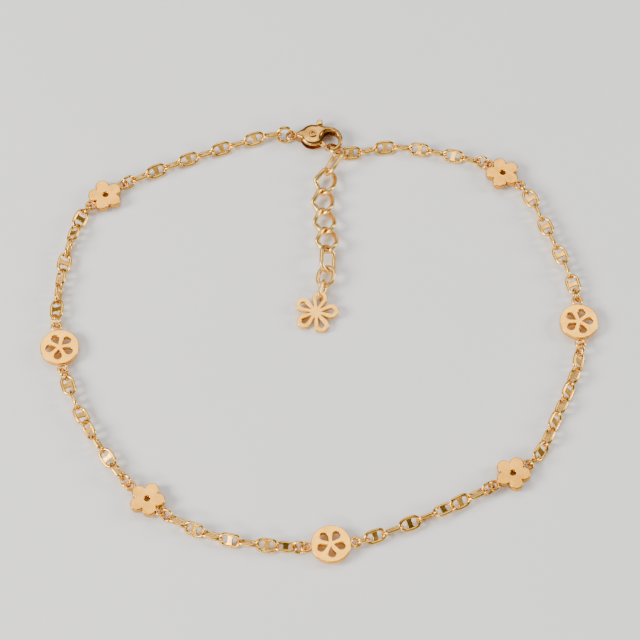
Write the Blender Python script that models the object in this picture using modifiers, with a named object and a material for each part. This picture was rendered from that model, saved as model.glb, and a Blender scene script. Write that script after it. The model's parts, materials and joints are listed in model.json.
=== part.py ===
import math

import bmesh
import bpy
import numpy as np
from mathutils import Matrix, Vector

# Chain links, in metres
LINK_LENGTH = 0.00268
LINK_WIDTH = 0.00165
LINK_WIRE = 0.0003
BAR_WIDTH = 0.00055
BAR_THICKNESS = 0.00024
FUSED_DEPTH = 0.00006

# Round rings
RING_DIAMETER = 0.0018
RING_WIRE = 0.00032
CLASP_RING_DIAMETER = 0.0023
CLASP_RING_WIRE = 0.0004
HOOK_RING_DIAMETER = 0.0029
HOOK_RING_WIRE = 0.00044
PLAY = 0.00009
EXTENDER_PLAY = 0.00016

# Stations
STATION_HEIGHT = 0.00073
EYELET_DIAMETER = 0.0014
EYELET_WIRE = 0.00036
SOLDER_DEPTH = 0.00014
DISC_DIAMETER = 0.0046
DISC_THICKNESS = 0.00065
HOLE_TIP_RADIUS = 0.00042
HOLE_CENTRE_RADIUS = 0.00122
HOLE_ROUND_RADIUS = 0.00043
PETAL_CENTRE_RADIUS = 0.00127
PETAL_ROUND_RADIUS = 0.00083
BLOSSOM_THICKNESS = 0.00085
BLOSSOM_HOLE = 0.0006
PETALS = 5

# Clasp, about its rivet, with the hook towards +X
CLASP_THICKNESS = 0.0016
BODY_RADIUS = 0.0015
TAIL_RADIUS = 0.0005
TAIL_X = -0.00155
TAIL_Y = -0.00025
TAIL_EYELET_DIAMETER = 0.00145
TAIL_EYELET_WIRE = 0.00036
HOOK_X = 0.00215
HOOK_RADIUS = 0.00156
HOOK_BAND = 0.0005
HOOK_TIP_BAND = 0.00024
HOOK_TIP_DEG = -106.0
HOOK_TIP_SHARE = 0.25
BODY_BEVEL = 0.0002
SLOT_GAP = 0.00009
LEVER_THICKNESS = 0.00056
HUB_RADIUS = 0.0006
RIVET_RADIUS = 0.0003
RIVET_HEAD_RADIUS = 0.00048
RIVET_HEAD_HEIGHT = 0.00014
DIMPLE_RADIUS = 0.0002
GATE_WIDTH = 0.00054
GATE_DEG = -32.0
LEVER_TRAVEL_DEG = 26.0
KNOB_DEG = 78.0
KNOB_RADIUS = 0.00042
KNOB_HEIGHT = 0.0009
KNOB_NECK = 0.00035

# Hook ring in the clasp's frame
HOOK_RING_DEG = -50.0
HOOK_RING_REACH = 0.0019
HOOK_RING_RISE = 0.0002
HOOK_RING_TILT_DEG = 44.0
HOOK_RING_LEAN_DEG = 60.0
CHAIN_ON_RING_DEG = -50.0
CHAIN_ON_RING_DEPTH = 0.0006
EXTENDER_ON_RING_DEG = -135.0
EXTENDER_ON_RING_DEPTH = 0.0008

# Extender and drop
EXTENDER_LENGTH = 0.00385
EXTENDER_WIDTH = 0.00265
EXTENDER_WIRE = 0.00046
EXTENDER_TWIST_DEG = 90.0
EXTENDER_SHOULDER = (0.42, 0.25)
EXTENDER_CORNER = 0.58
END_RING_LENGTH = 0.0029
END_RING_WIDTH = 0.0024
END_RING_WIRE = 0.00044
DROP_RING_LENGTH = 0.0028
DROP_RING_WIDTH = 0.0017
DROP_RING_WIRE = 0.00036
DROP_PETAL_CENTRE = 0.0018
DROP_PETAL_RADIUS = 0.0009
DROP_BAND = 0.0005
DROP_HOLE_TIP = 0.00064
DROP_NOTCH_RADIUS = 0.00062
DROP_THICKNESS = 0.0005

WIRE_SIDES = 5
LINK_END_STEPS = 4
RING_SIDES = 10
OUTLINE_SCALE = 1000.0

# Route of the chain as it lies, clockwise from the hook ring
CHAIN_ROUTE = [
    (0.0032, 0.0255), (0.0080, 0.0264), (0.0120, 0.0262), (0.0160, 0.0253),
    (0.0200, 0.0243), (0.0233, 0.0227), (0.0259, 0.0193), (0.0277, 0.0150),
    (0.0306, 0.0074), (0.0313, 0.0015), (0.0308, -0.0040), (0.0277, -0.0116),
    (0.0252, -0.0165), (0.0195, -0.0203), (0.0109, -0.0245), (0.0016, -0.0275),
    (-0.0100, -0.0267), (-0.0172, -0.0237), (-0.0224, -0.0191), (-0.0278, -0.0108),
    (-0.0309, -0.0020), (-0.0312, 0.0060), (-0.0297, 0.0142), (-0.0275, 0.0184),
    (-0.0226, 0.0217), (-0.0119, 0.0262), (-0.0042, 0.0281),
]

# Route of the extender from the hook ring, as steps from its first point
EXTENDER_ROUTE = [
    (0.0, 0.0), (-0.0008, -0.0013), (-0.0017, -0.0035), (-0.0019, -0.0060),
    (-0.0018, -0.0086), (-0.0014, -0.0112), (-0.0013, -0.0140), (-0.0015, -0.0168),
    (-0.0019, -0.0185), (-0.0027, -0.0215), (-0.0035, -0.0245), (-0.0043, -0.0275),
    (-0.0051, -0.0305),
]

# Turn of each link about the chain, in degrees, one row a stretch
LINK_ROLLS = [
    (42, -45, 45, -45, 45, -45, 45, -45),
    (15, 105, 15, 105, 15, 105, 15),
    (-45, 45, -45, 45, -45, 45, -45),
    (45, -40, 20, 80, -20, 60, -35),
    (25, -35, 50, -40, 45, -45, 45),
    (50, -25, 65, -55, 15, 85, -10),
    (-15, 75, -45, 15, 85, -35, 25),
    (-45, 45, -45, 45, -45, 45, -45, 45, -45),
]

# Turn of the jump rings before and after each station, and the station's motif
STATIONS = [
    (60, "blossom", -62),
    (-60, "disc", 62),
    (62, "blossom", -60),
    (60, "disc", -60),
    (-62, "blossom", -62),
    (62, "disc", 60),
    (-60, "blossom", 62),
]

CLASP_RING_ROLL = 57
CLASP_RING_HEIGHTS = (0.0009, 0.00108)
EXTENDER_ROLLS = (55, 0, 0, 0, 0, -48)
EXTENDER_HEIGHTS = (0.001, 0.0008, 0.0007, 0.00076, 0.00102, 0.00103, 0.00088, 0.00084)
DROP_HEIGHT = 0.00053
END_RING_ROLL = 18
DROP_RING_ROLL = -75


def arc(centre_x, centre_y, radius, start_deg, end_deg, count):
    """Points of an arc, both ends included."""
    angles = np.radians(np.linspace(start_deg, end_deg, count))
    return [(centre_x + radius * math.cos(a), centre_y + radius * math.sin(a)) for a in angles]


def polar(radius, degrees):
    """A point at a radius and an angle."""
    return (radius * math.cos(math.radians(degrees)), radius * math.sin(math.radians(degrees)))


def remove_object(obj):
    """Remove an object with its data."""
    data = obj.data
    bpy.data.objects.remove(obj)
    if isinstance(data, bpy.types.Curve):
        bpy.data.curves.remove(data)


def mesh_of(obj, scale=1.0):
    """The evaluated, welded mesh of an object, which is then removed."""
    bpy.context.scene.collection.objects.link(obj)
    graph = bpy.context.evaluated_depsgraph_get()
    mesh = bpy.data.meshes.new_from_object(obj.evaluated_get(graph))
    shape = bmesh.new()
    shape.from_mesh(mesh)
    bmesh.ops.transform(shape, matrix=Matrix.Scale(1.0 / scale, 4), verts=shape.verts)
    bmesh.ops.remove_doubles(shape, verts=shape.verts, dist=1e-7)
    bmesh.ops.recalc_face_normals(shape, faces=shape.faces)
    shape.to_mesh(mesh)
    shape.free()
    remove_object(obj)
    return mesh


def poly_curve(name, loops, flat):
    """A curve object with one closed poly spline for each loop of points."""
    curve = bpy.data.curves.new(name, "CURVE")
    curve.dimensions = "2D" if flat else "3D"
    for loop in loops:
        spline = curve.splines.new("POLY")
        spline.points.add(len(loop) - 1)
        for point, place in zip(spline.points, loop):
            spot = Vector((*place, 0.0)[:3]) * OUTLINE_SCALE
            point.co = (*spot, 1.0)
        spline.use_cyclic_u = True
    return bpy.data.objects.new(name, curve)


def wire_loop(path, wire):
    """A closed round wire along a path, as a mesh."""
    section = poly_curve("section", [arc(0, 0, wire / 2, 0, 360, WIRE_SIDES + 1)[:-1]], False)
    bpy.context.scene.collection.objects.link(section)
    loop = poly_curve("loop", [path], False)
    loop.data.bevel_mode = "OBJECT"
    loop.data.bevel_object = section
    loop.data.twist_mode = "Z_UP"
    mesh = mesh_of(loop, OUTLINE_SCALE)
    remove_object(section)
    return mesh


def plate(loops, thickness):
    """A flat plate from its outline and its holes, centred on z = 0."""
    outline = poly_curve("outline", loops, True)
    outline.data.fill_mode = "BOTH"
    outline.data.extrude = thickness / 2 * OUTLINE_SCALE
    return mesh_of(outline, OUTLINE_SCALE)


def cylinder(radius, low, high, sides=16, top_radius=None):
    """A cylinder or cone about Z between two heights, as a mesh."""
    shape = bmesh.new()
    top = radius if top_radius is None else top_radius
    bmesh.ops.create_cone(shape, cap_ends=True, segments=sides, radius1=radius, radius2=top,
                          depth=high - low)
    bmesh.ops.translate(shape, verts=shape.verts, vec=(0, 0, (low + high) / 2))
    mesh = bpy.data.meshes.new("cylinder")
    shape.to_mesh(mesh)
    shape.free()
    return mesh


def box(size_x, size_y, size_z):
    """A box about the origin, as a mesh."""
    shape = bmesh.new()
    bmesh.ops.create_cube(shape, size=1.0, matrix=Matrix.Diagonal((size_x, size_y, size_z, 1.0)))
    mesh = bpy.data.meshes.new("box")
    shape.to_mesh(mesh)
    shape.free()
    return mesh


def gathered(pieces):
    """One mesh that holds placed copies of others, each a (mesh, matrix) pair."""
    shape = bmesh.new()
    for mesh, matrix in pieces:
        first = len(shape.verts)
        shape.from_mesh(mesh)
        shape.verts.ensure_lookup_table()
        bmesh.ops.transform(shape, matrix=matrix, verts=shape.verts[first:])
    mesh = bpy.data.meshes.new("gathered")
    shape.to_mesh(mesh)
    shape.free()
    return mesh


def boolean(first, second, operation):
    """The union or difference of two closed meshes."""
    other = bpy.data.objects.new("other", second)
    bpy.context.scene.collection.objects.link(other)
    result = bpy.data.objects.new("result", first)
    modifier = result.modifiers.new("join", "BOOLEAN")
    modifier.operation = operation
    modifier.object = other
    mesh = mesh_of(result)
    remove_object(other)
    return mesh


def union(first, second):
    return boolean(first, second, "UNION")


def moved(mesh, x=0.0, y=0.0, z=0.0):
    """A copy of a mesh at another place."""
    return gathered([(mesh, Matrix.Translation((x, y, z)))])


def ring_path(diameter, sides=RING_SIDES):
    """Centre line of a round ring, with a point at each end of its X axis."""
    return [(x, y, 0.0) for x, y in arc(0, 0, diameter / 2, 0, 360, sides + 1)[:-1]]


def oval_path(length, width):
    """Centre line of an oval link along X."""
    radius = width / 2
    shift = (length - width) / 2
    right = arc(shift, 0, radius, -90, 90, LINK_END_STEPS + 1)
    return right + arc(-shift, 0, radius, 90, 270, LINK_END_STEPS + 1)


def curb_path(length, width):
    """Centre line of a curb link along X, round at +Y and cornered at -Y, twisted from end to end."""
    radius = width / 2
    shift = (length - width) / 2
    flat = arc(shift, 0, radius, 0, 90, 3) + arc(-shift, 0, radius, 90, 180, 3)
    shoulder_x, shoulder_y = length * EXTENDER_SHOULDER[0], -width * EXTENDER_SHOULDER[1]
    flat += [(-shoulder_x, shoulder_y), (0.0, -width * EXTENDER_CORNER), (shoulder_x, shoulder_y)]
    path = []
    for x, y in flat:
        turn = math.radians(EXTENDER_TWIST_DEG) * x / length
        path.append((x, y * math.cos(turn), y * math.sin(turn)))
    return path


def anchor_link():
    """An oval wire link with a flat bar across its middle."""
    oval = wire_loop(oval_path(LINK_LENGTH - LINK_WIRE, LINK_WIDTH - LINK_WIRE), LINK_WIRE)
    bar = box(BAR_WIDTH, LINK_WIDTH - LINK_WIRE, BAR_THICKNESS)
    return union(oval, bar)


def round_ring(diameter, wire):
    return wire_loop(ring_path(diameter - wire), wire)


def eyelet(diameter, wire, x, y):
    return moved(round_ring(diameter, wire), x, y)


def teardrop(tip_radius, centre_radius, round_radius, degrees, count=6):
    """A teardrop outline with its tip towards the origin."""
    lean = math.degrees(math.asin(round_radius / (centre_radius - tip_radius)))
    centre = polar(centre_radius, degrees)
    round_end = arc(*centre, round_radius, degrees - 90 - lean, degrees + 90 + lean, count)
    return [polar(tip_radius, degrees)] + round_end


def heading(step):
    """Angle of a step in the plan, in radians."""
    return math.atan2(step[1], step[0])


def petal_angles(first_deg=0.0):
    return [first_deg + 360.0 / PETALS * i for i in range(PETALS)]


def with_eyelets(mesh, spots):
    for x in spots:
        mesh = union(mesh, eyelet(EYELET_DIAMETER, EYELET_WIRE, x, 0.0))
    return mesh


def pierced_disc():
    """A disc pierced by five teardrops, with an eyelet at each side."""
    rim = arc(0, 0, DISC_DIAMETER / 2, 0, 360, 25)[:-1]
    holes = []
    for degrees in petal_angles(90.0):
        holes.append(teardrop(HOLE_TIP_RADIUS, HOLE_CENTRE_RADIUS, HOLE_ROUND_RADIUS, degrees))
    reach = DISC_DIAMETER / 2 + EYELET_DIAMETER / 2 - SOLDER_DEPTH
    return with_eyelets(plate([rim] + holes, DISC_THICKNESS), (-reach, reach)), reach


def blossom():
    """A solid five-petal flower; one eyelet sits at a petal, the other between two."""
    half_turn = math.pi / PETALS
    notch = PETAL_CENTRE_RADIUS * math.cos(half_turn)
    cusp = math.sqrt(PETAL_ROUND_RADIUS ** 2 - (PETAL_CENTRE_RADIUS * math.sin(half_turn)) ** 2)
    spread = math.degrees(math.atan2(PETAL_CENTRE_RADIUS * math.sin(half_turn), cusp)) + 180.0 / PETALS
    outline = []
    for degrees in petal_angles():
        centre = polar(PETAL_CENTRE_RADIUS, degrees)
        outline += arc(*centre, PETAL_ROUND_RADIUS, degrees - spread, degrees + spread, 7)[:-1]
    hole = arc(0, 0, BLOSSOM_HOLE / 2, 0, 360, 11)[:-1]
    at_petal = PETAL_CENTRE_RADIUS + PETAL_ROUND_RADIUS + EYELET_DIAMETER / 2 - SOLDER_DEPTH
    flank = PETAL_ROUND_RADIUS + EYELET_DIAMETER / 2 - SOLDER_DEPTH
    side = PETAL_CENTRE_RADIUS * math.sin(half_turn)
    at_notch = notch + math.sqrt(flank ** 2 - side ** 2)
    mesh = with_eyelets(plate([outline, hole], BLOSSOM_THICKNESS), (-at_notch, at_petal))
    return mesh, at_notch, at_petal


def hook_share(degrees):
    """How far round the hook an angle about its centre is, from 0 at its root to 1 at its tip."""
    if HOOK_TIP_DEG - 4.0 <= degrees <= 90.0:
        return (90.0 - degrees) / (90.0 - HOOK_TIP_DEG)
    return 0.0


def hook_band(degrees):
    share = max(0.0, hook_share(degrees) - 0.4) / 0.6
    return HOOK_BAND + (HOOK_TIP_BAND - HOOK_BAND) * share


def hook_height_share(degrees):
    return HOOK_TIP_SHARE + (1.0 - HOOK_TIP_SHARE) * max(0.0, 1.0 - hook_share(degrees) / 0.62)


def clasp_outline():
    """Body and hook of the clasp in one outline."""
    outline = arc(0, 0, BODY_RADIUS, 156, 90, 5)
    outline += arc(HOOK_X, BODY_RADIUS - HOOK_RADIUS, HOOK_RADIUS, 90, HOOK_TIP_DEG, 14)
    inner = []
    for degrees in np.linspace(HOOK_TIP_DEG, 200.0, 18):
        x, y = polar(HOOK_RADIUS - hook_band(degrees), degrees)
        inner.append((HOOK_X + x, BODY_RADIUS - HOOK_RADIUS + y))
    outline += inner
    outline += arc(0, 0, BODY_RADIUS, -30, -150, 8)
    outline += arc(TAIL_X, TAIL_Y, TAIL_RADIUS, 232, 130, 4)
    return outline


def sector(centre_x, centre_y, inner, outer, start_deg, end_deg, count=8):
    """Outline of a ring sector, or of a pie slice when inner is near 0."""
    far = arc(centre_x, centre_y, outer, start_deg, end_deg, count)
    near = arc(centre_x, centre_y, inner, end_deg, start_deg, count)
    return far + near


def slot_outline():
    """Room for the lever between the two cheeks, through its whole travel."""
    hub = HUB_RADIUS + SLOT_GAP
    out = BODY_RADIUS + SLOT_GAP * 1.5
    outline = arc(0, 0, out, -150, GATE_DEG + LEVER_TRAVEL_DEG + 22, 10)
    outline += arc(0, 0, hub, GATE_DEG + LEVER_TRAVEL_DEG + 24, KNOB_DEG - 38, 4)
    outline += arc(0, 0, out + BODY_RADIUS, KNOB_DEG - 20, KNOB_DEG + LEVER_TRAVEL_DEG + 20, 4)
    outline += arc(0, 0, hub, KNOB_DEG + LEVER_TRAVEL_DEG + 38, 208, 5)
    return outline


def clasp_body():
    """Cheeks, hook, rivet and tail eyelet of the clasp, hollowed for the lever."""
    mesh = plate([clasp_outline()], CLASP_THICKNESS)
    for vertex in mesh.vertices:
        x, y, z = vertex.co
        degrees = math.degrees(math.atan2(y - BODY_RADIUS + HOOK_RADIUS, x - HOOK_X))
        vertex.co.z = z * hook_height_share(degrees)
    body = bpy.data.objects.new("bevelled", mesh)
    bevel = body.modifiers.new("edges", "BEVEL")
    bevel.width = BODY_BEVEL
    bevel.segments = 1
    bevel.limit_method = "ANGLE"
    bevel.angle_limit = math.radians(60)
    mesh = mesh_of(body)
    slot_height = LEVER_THICKNESS + 2 * SLOT_GAP
    mesh = boolean(mesh, plate([slot_outline()], slot_height), "DIFFERENCE")
    channel = sector(HOOK_X, BODY_RADIUS - HOOK_RADIUS, HOOK_RADIUS - HOOK_BAND * 1.2,
                     HOOK_RADIUS - HOOK_BAND * 0.45, 48, 150)
    mesh = boolean(mesh, plate([channel], slot_height), "DIFFERENCE")
    half = CLASP_THICKNESS / 2
    mesh = union(mesh, cylinder(RIVET_RADIUS, -half + BODY_BEVEL, half - BODY_BEVEL / 2, 12))
    head = cylinder(RIVET_HEAD_RADIUS, half - BODY_BEVEL / 2, half + RIVET_HEAD_HEIGHT, 12,
                    RIVET_HEAD_RADIUS * 0.8)
    mesh = union(mesh, head)
    dimple = cylinder(DIMPLE_RADIUS * 0.6, half, half + RIVET_HEAD_HEIGHT * 2, 8, DIMPLE_RADIUS * 1.4)
    mesh = boolean(mesh, dimple, "DIFFERENCE")
    tail_x, tail_y = tail_eyelet_centre()
    return union(mesh, eyelet(TAIL_EYELET_DIAMETER, TAIL_EYELET_WIRE, tail_x, tail_y))


def tail_eyelet_centre():
    """Centre of the tail eyelet, which is soldered to the end of the tail."""
    reach = TAIL_RADIUS + TAIL_EYELET_DIAMETER / 2 - SOLDER_DEPTH
    return TAIL_X - reach * 0.98, TAIL_Y - reach * 0.1


def clasp_lever():
    """Gate, hub and thumb knob of the lever, in one piece."""
    gate_length = math.hypot(HOOK_X, HOOK_RADIUS) * 0.79
    knob_reach = BODY_RADIUS + KNOB_RADIUS + 2.2 * SLOT_GAP
    along = Vector(polar(1.0, GATE_DEG))
    across = Vector((-along.y, along.x)) * GATE_WIDTH / 2
    gate_low = along * (gate_length - GATE_WIDTH * 0.1) - across
    gate_high = along * gate_length + across
    knob_along = Vector(polar(1.0, KNOB_DEG)) * knob_reach
    knob_across = Vector(polar(KNOB_NECK, KNOB_DEG + 90))
    outline = [tuple(gate_low), tuple(gate_high)]
    outline += arc(0, 0, HUB_RADIUS, GATE_DEG + 30, KNOB_DEG - 30, 4)
    outline += [tuple(knob_along - knob_across), tuple(knob_along + knob_across)]
    outline += arc(0, 0, HUB_RADIUS, KNOB_DEG + 30, 360 + GATE_DEG - 30, 9)
    bore = arc(0, 0, RIVET_RADIUS + SLOT_GAP, 0, 360, 13)[:-1]
    mesh = plate([outline, bore], LEVER_THICKNESS)
    knob = moved(cylinder(KNOB_RADIUS, -KNOB_HEIGHT / 2, KNOB_HEIGHT / 2, 12), *knob_along)
    return union(mesh, knob)


def flower_drop():
    """Five looped petals in one flat piece, the first towards +X."""
    edge_lean = math.degrees(math.asin(DROP_PETAL_RADIUS / DROP_PETAL_CENTRE))
    outline = []
    holes = []
    for degrees in petal_angles():
        centre = polar(DROP_PETAL_CENTRE, degrees)
        outline.append(polar(DROP_NOTCH_RADIUS, degrees - 180.0 / PETALS))
        outline += arc(*centre, DROP_PETAL_RADIUS, degrees - 90 - edge_lean, degrees + 90 + edge_lean, 7)
        hole = teardrop(DROP_HOLE_TIP, DROP_PETAL_CENTRE, DROP_PETAL_RADIUS - DROP_BAND, degrees)
        holes.append(hole)
    return plate([outline] + holes, DROP_THICKNESS)


def circle_points(end_x, radius, roll_deg, towards):
    """Points of the round end of a link whose apex is at end_x and which lies towards -1 or +1."""
    angles = np.radians(np.linspace(-85, 85, 69))
    turn = math.radians(roll_deg)
    x = end_x + towards * radius * (1.0 - np.cos(angles))
    side = radius * np.sin(angles)
    return np.stack([x, side * math.cos(turn), side * math.sin(turn)], axis=1)


def hook_depth(first, second, roll_deg, gap):
    """Distance between the end apexes of two hooked wires that leaves this gap between them."""
    least, most = 0.0, 4.0 * (first[1] + second[1])
    for _ in range(24):
        depth = (least + most) / 2
        one = circle_points(depth, first[0], 0.0, -1)
        two = circle_points(0.0, second[0], roll_deg, 1)
        nearest = np.linalg.norm(one[:, None, :] - two[None, :, :], axis=2).min()
        if nearest < (first[1] + second[1]) / 2 + gap:
            least = depth
        else:
            most = depth
    return most


class Link:
    """One rigid piece of the train: where its end wires are, and how it is turned."""

    def __init__(self, name, start, end, radius, wire, roll):
        self.name = name
        self.start = start
        self.end = end
        self.hook = (radius, wire)
        self.roll = roll
        self.matrix = None


def chain_link(roll):
    reach = (LINK_LENGTH - LINK_WIRE) / 2
    return Link("link", -reach, reach, (LINK_WIDTH - LINK_WIRE) / 2, LINK_WIRE, roll)


def ring_link(name, diameter, wire, roll):
    reach = (diameter - wire) / 2
    return Link(name, -reach, reach, reach, wire, roll)


def station_link(name, at_start, at_end):
    reach = (EYELET_DIAMETER - EYELET_WIRE) / 2
    return Link(name, -at_start - reach, at_end + reach, reach, EYELET_WIRE, 0)


def joint_depth(first, second):
    gap = -FUSED_DEPTH if first.name == second.name == "link" else PLAY
    return hook_depth(first.hook, second.hook, second.roll - first.roll, gap)


def frame_along(start, end, roll_deg):
    """Rotation with X from start to end, turned about that line."""
    along = (Vector(end) - Vector(start)).normalized()
    side = Vector((0, 0, 1)).cross(along).normalized()
    up = along.cross(side)
    turn = math.radians(roll_deg)
    width = side * math.cos(turn) + up * math.sin(turn)
    rotation = Matrix.Identity(4)
    for column, axis in enumerate((along, width, along.cross(width))):
        for row in range(3):
            rotation[row][column] = axis[row]
    return rotation


def smooth_route(points, closed, per_span=60):
    """Dense points of a smooth curve through the route's own points."""
    spots = [np.array(p) for p in points]
    count = len(spots)
    spans = count if closed else count - 1
    dense = []
    for i in range(spans):
        if closed:
            a, b, c, d = (spots[(i + k) % count] for k in (-1, 0, 1, 2))
        else:
            a, b, c, d = (spots[min(max(i + k, 0), count - 1)] for k in (-1, 0, 1, 2))
        for t in np.arange(per_span) / per_span:
            dense.append(0.5 * (2 * b + (c - a) * t + (2 * a - 5 * b + 4 * c - d) * t ** 2
                                + (3 * b - a - 3 * c + d) * t ** 3))
    return np.array(dense)


def walk(route, first, reaches):
    """Points along a dense route at the given chord lengths, and how far along it the last one is."""
    place = 0.0
    here = np.array(first)
    spots = [here]
    count = len(route)
    index = 0
    for reach in reaches:
        while True:
            after = route[(index + 1) % count]
            if np.linalg.norm(after - here) >= reach:
                break
            index += 1
        before = route[index % count]
        low, high = 0.0, 1.0
        for _ in range(30):
            middle = (low + high) / 2
            if np.linalg.norm(before + (after - before) * middle - here) < reach:
                low = middle
            else:
                high = middle
        here = before + (after - before) * high
        place = index + high
        spots.append(here)
    return spots, place


def close_route(route, reaches):
    """Scale of the route at which the whole train closes on itself."""
    small, large = 0.5, 2.0
    for _ in range(40):
        scale = (small + large) / 2
        spots, place = walk(route * scale, route[0] * scale, reaches)
        if place > len(route):
            small = scale
        else:
            large = scale
    return large


def stretch_height(rolls):
    """Height of a stretch's centre line: its tallest link stands on the surface."""
    half = (LINK_WIDTH - LINK_WIRE) / 2
    return max(abs(half * math.sin(math.radians(roll))) for roll in rolls) + LINK_WIRE / 2


def build_train(at_notch, at_petal, disc_reach):
    """All pieces from the hook ring round to the clasp ring, with the heights between them."""
    train = []
    heights = []
    for row, rolls in enumerate(LINK_ROLLS):
        height = stretch_height(rolls)
        if row > 0:
            before, motif, after = STATIONS[row - 1]
            train.append(ring_link(f"jump_ring_{2 * row - 1}", RING_DIAMETER, RING_WIRE, before))
            heights.append(STATION_HEIGHT)
            number = 1 + sum(1 for _, other, _ in STATIONS[:row - 1] if other == motif)
            spans = (at_notch, at_petal) if motif == "blossom" else (disc_reach, disc_reach)
            train.append(station_link(f"{motif}_{number}", *spans))
            heights.append(STATION_HEIGHT)
            train.append(ring_link(f"jump_ring_{2 * row}", RING_DIAMETER, RING_WIRE, after))
            heights.append(height)
        for roll in rolls:
            train.append(chain_link(roll))
            heights.append(height)
    train.append(ring_link("clasp_ring", CLASP_RING_DIAMETER, CLASP_RING_WIRE, CLASP_RING_ROLL))
    heights[-2:] = CLASP_RING_HEIGHTS
    heights.append(CLASP_THICKNESS / 2)
    return train, heights


def hook_ring_matrix():
    """Place of the hook ring in the clasp's own frame, hooked on the lower right of the hook."""
    reach_x, reach_y = polar(HOOK_RING_REACH, HOOK_RING_DEG)
    place = Matrix.Translation((HOOK_X + reach_x, BODY_RADIUS - HOOK_RADIUS + reach_y, HOOK_RING_RISE))
    lean = Matrix.Rotation(math.radians(HOOK_RING_LEAN_DEG), 4, "Z")
    return place @ lean @ Matrix.Rotation(math.radians(HOOK_RING_TILT_DEG), 4, "Y")


def place_train(train, spots, depths):
    """Put each piece between its two contact points."""
    for i, link in enumerate(train):
        start, end = Vector(spots[i]), Vector(spots[i + 1])
        along = (end - start).normalized()
        centre = start - along * (depths[i] / 2 + link.start)
        link.matrix = Matrix.Translation(centre) @ frame_along(start, end, link.roll)


def material(name, colour, roughness):
    """A polished gold with its own colour."""
    gold = bpy.data.materials.new(name)
    gold.use_nodes = True
    shader = gold.node_tree.nodes["Principled BSDF"]
    shader.inputs["Base Color"].default_value = (*colour, 1.0)
    shader.inputs["Metallic"].default_value = 1.0
    shader.inputs["Roughness"].default_value = roughness
    return gold


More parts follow.
